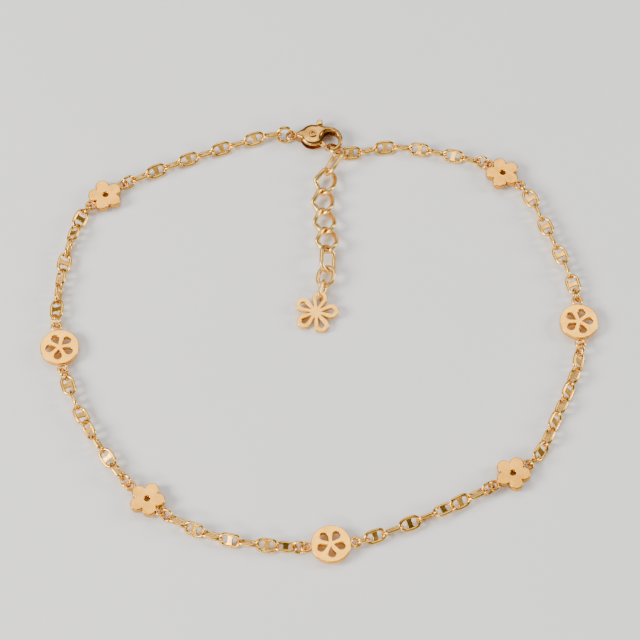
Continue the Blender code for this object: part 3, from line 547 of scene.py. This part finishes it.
def solidBlossom():
    centreRadius, roundRadius = blossom["petalCentre"], blossom["petalRound"]
    halfTurn = math.pi / disc["petals"]
    side = centreRadius * math.sin(halfTurn)
    cusp = math.sqrt(roundRadius ** 2 - side ** 2)
    spread = math.degrees(math.atan2(side, cusp) + halfTurn)
    outline = []
    for degrees in petalAngles():
        centre = polar(centreRadius, degrees)
        outline += arc(*centre, roundRadius, degrees - spread, degrees + spread, 23)[:-1]
    atPetal = centreRadius + roundRadius + eyelet["diameter"] / 2 - eyelet["solder"]
    flank = roundRadius + eyelet["diameter"] / 2 - eyelet["solder"]
    atNotch = centreRadius * math.cos(halfTurn) + math.sqrt(flank ** 2 - side ** 2)
    body = plate([outline, circle(blossom["hole"] / 2, 28)], blossom["thickness"], blossom["edge"], steps=5)
    return withEyelets(body, (-atNotch, atPetal)), atNotch, atPetal


# Lobster clasp about its rivet, with the hook towards +X and the lever closed on it
clasp = {
    "thickness": 0.0016, "radius": 0.0015, "tailRadius": 0.0005, "tail": (-0.00155, -0.00025),
    # where the arcs of the outline start and end: back of the cheek, throat, belly and tail
    "backDeg": 156, "throatDeg": 200.0, "bellyDeg": (-30, -150), "tailDeg": (232, 130),
    "tailEyelet": (0.00145, 0.00036), "tailLean": (0.98, 0.1),
    "hookX": 0.00215, "hookRadius": 0.00156, "hookBand": 0.0005,
    "tipBand": 0.00024, "tipDeg": -106.0, "tipShare": 0.25, "taperStart": 0.4, "tipSlope": 0.62,
    # rounded edge of the cheek, and its share where the hook's band or the tail leaves less room; it
    # narrows from the first share of hookX, over the second, and is narrowest past the third of the hook
    "dome": 0.00055, "domeFall": 0.00028, "bandRoom": 0.36, "tailRoom": 0.6, "narrowing": (0.35, 0.5, 0.15),
    # channel inside the hook: outer and inner side in bands, and its degrees
    "channel": (0.45, 1.2, 48, 150),
    "slotGap": 0.00009, "rivetRadius": 0.0003, "rivetShort": 0.0004,
    "headRadius": 0.00048, "headThickness": 0.00042, "headEdge": 0.00011, "dimple": 0.0002,
}
lever = {
    "thickness": 0.00056, "hubRadius": 0.0006, "edge": 0.00007, "travelDeg": 26.0,
    "gateWidth": 0.00054, "gateDeg": -32.0, "gateReach": 0.79, "gateSlant": 0.1,
    "knobDeg": 78.0, "knobRadius": 0.00042, "knobHeight": 0.0009, "knobNeck": 0.00035, "knobEdge": 0.00016,
    "knobGap": 2.2, "hubCutDeg": 30,
    # slot between the cheeks: its two ends, and the room beside gate, knob and hub
    "slotDeg": (-150, 208), "roomDeg": (22, 20, 38),
}
hookY = clasp["radius"] - clasp["hookRadius"]


def hookShare(x, y):
    # 0 at the root of the hook to 1 at its tip
    degrees = math.degrees(math.atan2(y - hookY, x - clasp["hookX"]))
    if clasp["tipDeg"] - 4.0 <= degrees <= 90.0:
        return (90.0 - degrees) / (90.0 - clasp["tipDeg"])
    return 0.0


def bandAt(share):
    # width of the hook's band, tapered to its tip
    start = clasp["taperStart"]
    change = clasp["tipBand"] - clasp["hookBand"]
    return clasp["hookBand"] + change * max(0.0, share - start) / (1.0 - start)


def hookHeight(x, y):
    # share of the clasp's thickness, less and less towards the tip
    left = max(0.0, 1.0 - hookShare(x, y) / clasp["tipSlope"])
    return clasp["tipShare"] + (1.0 - clasp["tipShare"]) * left


def domeShare(x, y):
    # the rounded edge narrows from the cheek to the band of the hook
    share = hookShare(x, y)
    start, length, full = clasp["narrowing"]
    start, length = clasp["hookX"] * start, clasp["hookX"] * length
    if share == 0.0 and x <= start:
        return 1.0 if math.hypot(x, y) < clasp["radius"] * 1.02 else clasp["tailRoom"]
    room = bandAt(share) * clasp["bandRoom"] / clasp["dome"]
    blend = 1.0 if share > full else min(1.0, max(0.0, (x - start) / length))
    return 1.0 + (room - 1.0) * blend


def claspOutline():
    outline = arc(0, 0, clasp["radius"], clasp["backDeg"], 90, 20)
    outline += [(clasp["hookX"] * share, clasp["radius"]) for share in (0.25, 0.5, 0.75)]
    outline += arc(clasp["hookX"], hookY, clasp["hookRadius"], 90, clasp["tipDeg"], 60)
    for degrees in np.linspace(clasp["tipDeg"], clasp["throatDeg"], 70):
        share = hookShare(*np.add((clasp["hookX"], hookY), polar(0.001, degrees)))
        x, y = polar(clasp["hookRadius"] - bandAt(share), degrees)
        outline.append((clasp["hookX"] + x, hookY + y))
    outline += arc(0, 0, clasp["radius"], *clasp["bellyDeg"], 40)
    outline += arc(*clasp["tail"], clasp["tailRadius"], *clasp["tailDeg"], 14)
    return outline


def slotOutline():
    # room for the lever between the cheeks, through its whole travel
    hub = lever["hubRadius"] + clasp["slotGap"]
    out = clasp["radius"] + clasp["slotGap"] * 1.5
    gate, knob, travel = lever["gateDeg"], lever["knobDeg"], lever["travelDeg"]
    startDeg, endDeg = lever["slotDeg"]
    gateRoom, knobRoom, hubRoom = lever["roomDeg"]
    outline = arc(0, 0, out, startDeg, gate + travel + gateRoom, 30)
    outline += arc(0, 0, hub, gate + travel + gateRoom + 2, knob - hubRoom, 10)
    outline += arc(0, 0, out + clasp["radius"], knob - knobRoom, knob + travel + knobRoom, 10)
    outline += arc(0, 0, hub, knob + travel + hubRoom, endDeg, 14)
    return outline


def tailEyeletCentre():
    reach = clasp["tailRadius"] + clasp["tailEyelet"][0] / 2 - eyelet["solder"]
    leanX, leanY = clasp["tailLean"]
    return clasp["tail"][0] - reach * leanX, clasp["tail"][1] - reach * leanY


def claspBody():
    mesh = plate([claspOutline()], clasp["thickness"], clasp["dome"], clasp["domeFall"], 7, domeShare,
                 hookHeight)
    slotHeight = lever["thickness"] + 2 * clasp["slotGap"]
    mesh = carved(mesh, plate([slotOutline()], slotHeight))
    outerBands, innerBands, startDeg, endDeg = clasp["channel"]
    outer = clasp["hookRadius"] - clasp["hookBand"] * outerBands
    inner = clasp["hookRadius"] - clasp["hookBand"] * innerBands
    channel = arc(clasp["hookX"], hookY, outer, startDeg, endDeg, 30)
    channel += arc(clasp["hookX"], hookY, inner, endDeg, startDeg, 30)
    mesh = carved(mesh, plate([channel], slotHeight))
    rivet = plate([circle(clasp["rivetRadius"], 32)], clasp["thickness"] - clasp["rivetShort"])
    mesh = soldered(mesh, rivet)
    head = plate([circle(clasp["headRadius"], 40), circle(clasp["dimple"], 28)], clasp["headThickness"],
                 clasp["headEdge"], steps=5)
    mesh = soldered(mesh, moved(head, z=clasp["thickness"] / 2))
    return soldered(mesh, moved(eyeletRing(*clasp["tailEyelet"]), *tailEyeletCentre()))


def claspLever():
    # gate at -Y, hub about the rivet, and the thumb knob on its neck
    gateLength = math.hypot(clasp["hookX"], clasp["hookRadius"]) * lever["gateReach"]
    along = np.array(polar(1.0, lever["gateDeg"]))
    across = np.array((-along[1], along[0])) * lever["gateWidth"] / 2
    knobReach = clasp["radius"] + lever["knobRadius"] + lever["knobGap"] * clasp["slotGap"]
    knobSpot = np.array(polar(knobReach, lever["knobDeg"]))
    knobSide = np.array(polar(lever["knobNeck"], lever["knobDeg"] + 90))
    shortSide = gateLength - lever["gateWidth"] * lever["gateSlant"]
    outline = [tuple(along * shortSide - across), tuple(along * gateLength + across)]
    cut = lever["hubCutDeg"]
    outline += arc(0, 0, lever["hubRadius"], lever["gateDeg"] + cut, lever["knobDeg"] - cut, 14)
    outline += [tuple(knobSpot - knobSide), tuple(knobSpot + knobSide)]
    outline += arc(0, 0, lever["hubRadius"], lever["knobDeg"] + cut, 360 + lever["gateDeg"] - cut, 30)
    bore = circle(clasp["rivetRadius"] + clasp["slotGap"], 32)
    arm = plate([outline, bore], lever["thickness"], lever["edge"])
    knob = plate([circle(lever["knobRadius"], 36)], lever["knobHeight"], lever["knobEdge"], steps=6)
    return soldered(arm, moved(knob, *knobSpot))


# Hook ring in the clasp's frame, and where the chain and the extender hang on it
hookRing = {
    "deg": -50.0, "reach": 0.0019, "rise": 0.0002, "tilt": 44.0, "lean": 60.0,
    "chainDeg": -50.0, "chainDepth": 0.0006, "extenderDeg": -135.0, "extenderDepth": 0.0008,
}


def hookRingMatrix():
    x, y = polar(hookRing["reach"], hookRing["deg"])
    place = Matrix.Translation((clasp["hookX"] + x, hookY + y, hookRing["rise"]))
    lean = Matrix.Rotation(math.radians(hookRing["lean"]), 4, "Z")
    return place @ lean @ Matrix.Rotation(math.radians(hookRing["tilt"]), 4, "Y")


# Extender of plain oval links first and last, twisted curb links (roll 0) between them, an end ring,
# and the looped flower on its own ring
extender = {
    "link": (0.00385, 0.00265, 0.00046), "twist": 90.0, "play": 0.00016, "flat": 0.92, "thicker": 1.25,
    "sides": 16, "endPoints": 25, "sidePoints": 5, "shoulder": (0.42, 0.25), "corner": 0.58,
    "cornerRound": (0.08, 0.975),
    "endRing": (0.0029, 0.0024, 0.00044, 18), "dropRing": (0.0028, 0.0017, 0.00036, -75),
    "rolls": (55, 0, 0, 0, 0, -48),
    "heights": (0.001, 0.0008, 0.0007, 0.00076, 0.00102, 0.00103, 0.00088, 0.00084, 0.00053),
    "route": [
        (0.0, 0.0), (-0.0008, -0.0013), (-0.0017, -0.0035), (-0.0019, -0.0060), (-0.0018, -0.0086),
        (-0.0014, -0.0112), (-0.0013, -0.0140), (-0.0015, -0.0168), (-0.0019, -0.0185), (-0.0027, -0.0215),
        (-0.0035, -0.0245), (-0.0043, -0.0275), (-0.0051, -0.0305),
    ],
}
drop = {
    "petalCentre": 0.0018, "petalRadius": 0.0009, "band": 0.0005, "holeTip": 0.00064, "notch": 0.00062,
    "thickness": 0.0005, "edge": 0.00006, "narrower": 0.00006,
}


def curbPath(length, width):
    # round at +Y and cornered at -Y, twisted from end to end, with the twist at each point
    radius = width / 2
    shift = (length - width) / 2
    shoulderX, shoulderY = length * extender["shoulder"][0], -width * extender["shoulder"][1]
    corner = -width * extender["corner"]
    flat = arc(shift, 0, radius, 0, 90, 13)
    flat += [(x, radius) for x in np.linspace(shift, -shift, 9)[1:-1]]
    flat += arc(-shift, 0, radius, 90, 180, 13)
    roundX, roundY = extender["cornerRound"]
    left = [(-length / 2, 0.0), (-shoulderX, shoulderY), (-shoulderX * 0.5, (shoulderY + corner) / 2),
            (-shoulderX * roundX, corner * roundY)]
    sideRun = left + [(-x, y) for x, y in reversed(left)]
    flat += [tuple(spot) for spot in smoothRoute(sideRun, False, 5)[1:]]
    turns = [math.radians(extender["twist"]) * x / length for x, _ in flat]
    return [(x, y * math.cos(turn), y * math.sin(turn)) for (x, y), turn in zip(flat, turns)], turns


def flowerDrop():
    edgeLean = math.degrees(math.asin(drop["petalRadius"] / drop["petalCentre"]))
    outline = []
    holes = []
    for degrees in petalAngles():
        notch = polar(drop["notch"], degrees - 180.0 / disc["petals"])
        nextNotch = polar(drop["notch"], degrees + 180.0 / disc["petals"])
        centre = polar(drop["petalCentre"], degrees)
        bend = arc(*centre, drop["petalRadius"], degrees - 90 - edgeLean, degrees + 90 + edgeLean, 25)
        outline += [notch] + between(notch, bend[0], (0.3, 0.65)) + bend
        outline += between(bend[-1], nextNotch, (0.35, 0.7))
        # the petal at 0 degrees leaves room for its ring
        holeRound = drop["petalRadius"] - drop["band"] - (drop["narrower"] if degrees > 0 else 0.0)
        holes.append(teardrop(drop["holeTip"], drop["petalCentre"], holeRound, degrees))
    return plate([outline] + holes, drop["thickness"], drop["edge"])


def stretchHeight(rolls):
    half = (chain["width"] - chain["wire"]) / 2
    return max(abs(half * math.sin(math.radians(roll))) for roll in rolls) + chain["wire"] / 2


def buildTrain(atNotch, atPetal, discReach):
    # every piece from the hook ring round to the clasp ring, and the heights between them
    train, heights = [], []
    counts = {"blossom": 0, "disc": 0}
    eyeReach = (eyelet["diameter"] - eyelet["wire"]) / 2
    for row, rolls in enumerate(chain["rolls"]):
        height = stretchHeight(rolls)
        if row > 0:
            before, motif, after = stations["order"][row - 1]
            counts[motif] += 1
            toStart, toEnd = (atNotch, atPetal) if motif == "blossom" else (discReach, discReach)
            jump = rings["jump"]
            train.append(ovalLink(f"jump_ring_{2 * row - 1}", jump[0], jump[0], jump[1], before))
            train.append(makeLink(f"{motif}_{counts[motif]}", -toStart - eyeReach, toEnd + eyeReach, eyeReach,
                                  eyelet["wire"], 0))
            train.append(ovalLink(f"jump_ring_{2 * row}", jump[0], jump[0], jump[1], after))
            heights += [stations["height"], stations["height"], height]
        for roll in rolls:
            train.append(ovalLink("link", chain["length"], chain["width"], chain["wire"], roll))
            heights.append(height)
    size = rings["clasp"]
    train.append(ovalLink("clasp_ring", size[0], size[0], size[1], rings["claspRoll"]))
    return train, heights[:-2] + list(rings["claspHeights"]) + [clasp["thickness"] / 2]


def jointDepth(first, second):
    gap = chain["contact"] if first["name"] == second["name"] == "link" else rings["play"]
    return hookDepth(first["hook"], second["hook"], second["roll"] - first["roll"], gap)


def reachesOf(train, depths):
    return [link["end"] - link["start"] - depths[i] / 2 - depths[i + 1] / 2 for i, link in enumerate(train)]


def heading(step):
    return math.atan2(step[1], step[0])


# The loop, with the clasp and its hook ring as one rigid stretch of it
discMesh, discReach = piercedDisc()
blossomMesh, atNotch, atPetal = solidBlossom()
train, heights = buildTrain(atNotch, atPetal, discReach)
tailHook = ((clasp["tailEyelet"][0] - clasp["tailEyelet"][1]) / 2, clasp["tailEyelet"][1])
ringOnHook = hookRingMatrix()
hookRingEnd = (rings["hook"][0] - rings["hook"][1]) / 2
depths = [hookRing["chainDepth"]] + [jointDepth(one, two) for one, two in zip(train, train[1:])]
depths.append(hookDepth(train[-1]["hook"], tailHook, rings["claspRoll"], rings["play"]))
reaches = reachesOf(train, depths)
tailX, tailY = tailEyeletCentre()
claspStart = Vector((tailX - tailHook[0] + depths[-1] / 2, tailY, 0))
claspEnd = ringOnHook @ Vector((*polar(hookRingEnd - depths[0] / 2, hookRing["chainDeg"]), 0))
reaches.append((claspEnd - claspStart).to_2d().length)
route = closedRoute(smoothRoute(chain["route"], True), reaches)
spots, _ = walk(route, route[0], reaches)
levels = [clasp["thickness"] / 2 + claspEnd.z] + heights
placeTrain(train, [(*spot, level) for spot, level in zip(spots, levels)], depths)
turned = Matrix.Rotation(heading(spots[-1] - spots[-2]) - heading(claspEnd - claspStart), 4, "Z")
claspMatrix = Matrix.Translation(Vector((*spots[-2], clasp["thickness"] / 2)) - turned @ claspStart) @ turned

# The extender with its drop, from the hook ring down
linkLength, linkWidth, linkWire = extender["link"]
hanging = [ovalLink(f"extender_link_{i + 1}", linkLength, linkWidth, linkWire, roll)
           for i, roll in enumerate(extender["rolls"])]
hanging.append(ovalLink("end_ring", *extender["endRing"]))
hanging.append(ovalLink("drop_ring", *extender["dropRing"]))
petalHook = (drop["petalRadius"] - drop["band"] / 2, math.hypot(drop["band"], drop["thickness"]))
hangingDepths = [hookRing["extenderDepth"]]
for one, two in zip(hanging, hanging[1:]):
    # a curb link starts half its twist before its roll and ends half its twist after it
    endRoll = one["roll"] + (extender["twist"] / 2 if one["roll"] == 0 else 0)
    startRoll = two["roll"] - (extender["twist"] / 2 if two["roll"] == 0 else 0)
    hangingDepths.append(hookDepth(one["hook"], two["hook"], startRoll - endRoll, extender["play"]))
hangingDepths.append(hookDepth(hanging[-1]["hook"], petalHook, hanging[-1]["roll"], rings["play"]))
onRing = Vector((*polar(hookRingEnd - hangingDepths[0] / 2, hookRing["extenderDeg"]), 0))
extenderStart = claspMatrix @ ringOnHook @ onRing
hangingRoute = smoothRoute(extender["route"], False) + np.array(extenderStart.to_2d())
dropHole = drop["petalCentre"] + petalHook[0]
line, _ = walk(hangingRoute, hangingRoute[0], reachesOf(hanging, hangingDepths) + [dropHole])
line = [(*spot, level) for spot, level in zip(line, [extenderStart.z] + list(extender["heights"]))]
placeTrain(hanging, line, hangingDepths)
holeEnd, beyond = Vector(line[-2]), Vector(line[-1])
dropCentre = holeEnd + (beyond - holeEnd).normalized() * (dropHole - hangingDepths[-1] / 2)
dropMatrix = Matrix.Translation(dropCentre) @ frameAlong(holeEnd, beyond, 0)
dropMatrix = dropMatrix @ Matrix.Rotation(math.pi, 4, "Z")

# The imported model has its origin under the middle: the rivet's place says by how much it moved
rivet = Vector(frame["joints"][0]["pos_m"])
home = Matrix.Translation(Vector((*(rivet - claspMatrix.to_translation()).to_2d(),
                                  rivet.z - clasp["thickness"] / 2)))
print("layout ready:", len(train), "pieces in the loop,", len(hanging) + 1, "in the extender")


# Edges that bend more than this stay crisp
crispDeg = 38


def addPiece(name, mesh, matrix, nodeName, slotName, body="bracelet", gold=None):
    mesh.name = name
    mesh.transform(home @ matrix)
    mesh.shade_smooth()
    mesh.set_sharp_from_angle(angle=math.radians(crispDeg))
    mesh.materials.clear()
    mesh.materials.append(gold or golds[slotName])
    piece = bpy.data.objects.new(name, mesh)
    bpy.context.scene.collection.objects.link(piece)
    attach(piece, body)
    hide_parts(nodeName)


# Chain stretches
linkMesh = anchorLink()
stretches = [list(run) for name, run in groupby(train, key=lambda link: link["name"]) if name == "link"]
for number, run in enumerate(stretches, 1):
    links = gathered([(linkMesh, link["matrix"]) for link in run])
    addPiece(f"links_{number}", links, Matrix.Identity(4), f"chain_{number}", "chain_gold")
print("chain stretches made:", len(stretches))

# Stations and rings
for link in train:
    name = link["name"]
    if name.startswith("disc"):
        addPiece("pierced_" + name, discMesh.copy(), link["matrix"], name, "station_gold")
    elif name.startswith("blossom"):
        addPiece("solid_" + name, blossomMesh.copy(), link["matrix"], name, "station_gold", gold=blossomGold)
    elif name != "link":
        size = rings["clasp"] if name == "clasp_ring" else rings["jump"]
        addPiece("round_" + name, roundRing(size), link["matrix"], name, "ring_gold")
addPiece("round_hook_ring", roundRing(rings["hook"]), claspMatrix @ ringOnHook, "hook_ring", "ring_gold")
print("stations and rings made")

# Clasp
addPiece("clasp_cheeks", claspBody(), claspMatrix, "clasp_body", "clasp_gold")
addPiece("thumb_lever", claspLever(), claspMatrix, "clasp_lever", "clasp_gold", "lever")
print("clasp made")

# Extender and drop
ringSizes = {"end_ring": extender["endRing"][:3], "drop_ring": extender["dropRing"][:3]}
for link in hanging:
    name = link["name"]
    length, width, wire = ringSizes.get(name, extender["link"])
    if link["roll"] == 0:
        path, turns = curbPath(length - wire, width - wire)
    else:
        path = ovalPath(length - wire, width - wire, extender["endPoints"], extender["sidePoints"])
        turns = None
    mesh = wireLoop(path, wire * extender["thicker"], extender["sides"], turns, extender["flat"])
    addPiece("bent_" + name, mesh, link["matrix"], name, "extender_gold")
addPiece("looped_flower", flowerDrop(), dropMatrix, "flower_drop", "drop_gold")
print("extender and drop made")


# Pale floor and soft studio lights
studio = {
    "floorSize": 1.6, "floorColour": (0.93, 0.925, 0.91), "floorDarker": 0.985, "floorRoughness": 0.85,
    "floorSheen": 0.15, "floorGrain": 60.0, "world": (0.115, 0.125, 0.14),
    "lights": [
        {"name": "overheadSoftbox", "spot": (-0.04, 0.22, 0.42), "size": (0.36, 0.26), "watts": 1.1,
         "colour": (1.0, 0.97, 0.93)},
        {"name": "leftSoftbox", "spot": (-0.38, -0.10, 0.26), "size": (0.18, 0.20), "watts": 2.7,
         "colour": (1.0, 0.98, 0.95)},
        {"name": "rightSoftbox", "spot": (0.42, 0.06, 0.20), "size": (0.12, 0.20), "watts": 1.4,
         "colour": (0.97, 0.98, 1.0)},
        {"name": "frontStrip", "spot": (-0.16, -0.34, 0.20), "size": (0.26, 0.04), "watts": 0.7,
         "colour": (1.0, 0.98, 0.94)},
        {"name": "frontFill", "spot": (0.02, -0.42, 0.24), "size": (0.66, 0.18), "watts": 0.42,
         "colour": (1.0, 0.98, 0.95)},
    ],
}


def makeFloor():
    half = studio["floorSize"] / 2
    corners = [(-half, -half, 0.0), (half, -half, 0.0), (half, half, 0.0), (-half, half, 0.0)]
    mesh = bpy.data.meshes.new("paleFloor")
    mesh.from_pydata(corners, [], [(0, 1, 2, 3)])
    pale = bpy.data.materials.new("paleFloor")
    pale.use_nodes = True
    tree = pale.node_tree
    shader = tree.nodes["Principled BSDF"]
    shader.inputs["Roughness"].default_value = studio["floorRoughness"]
    shader.inputs["Specular IOR Level"].default_value = studio["floorSheen"]
    place = addNode(tree, "ShaderNodeTexCoord").outputs["Object"]
    grain = addNode(tree, "ShaderNodeTexNoise", {"Scale": studio["floorGrain"], "Detail": 3.0}, Vector=place)
    colour = studio["floorColour"]
    darker = tuple(studio["floorDarker"] * part for part in colour)
    tree.links.new(colourRamp(tree, grain.outputs["Fac"], [(0.3, darker), (0.7, colour)]),
                   shader.inputs["Base Color"])
    mesh.materials.append(pale)
    floor = bpy.data.objects.new("paleFloor", mesh)
    bpy.context.scene.collection.objects.link(floor)


def makeLights():
    world = bpy.data.worlds.new("softStudio")
    world.use_nodes = True
    world.node_tree.nodes["Background"].inputs["Color"].default_value = (*studio["world"], 1.0)
    bpy.context.scene.world = world
    for look in studio["lights"]:
        lamp = bpy.data.lights.new(look["name"], "AREA")
        lamp.shape = "RECTANGLE"
        lamp.size, lamp.size_y = look["size"]
        lamp.energy = look["watts"]
        lamp.color = look["colour"]
        light = bpy.data.objects.new(look["name"], lamp)
        light.location = look["spot"]
        light.rotation_euler = (-Vector(look["spot"])).to_track_quat("-Z", "Y").to_euler()
        bpy.context.scene.collection.objects.link(light)


makeFloor()
makeLights()
print("studio ready")
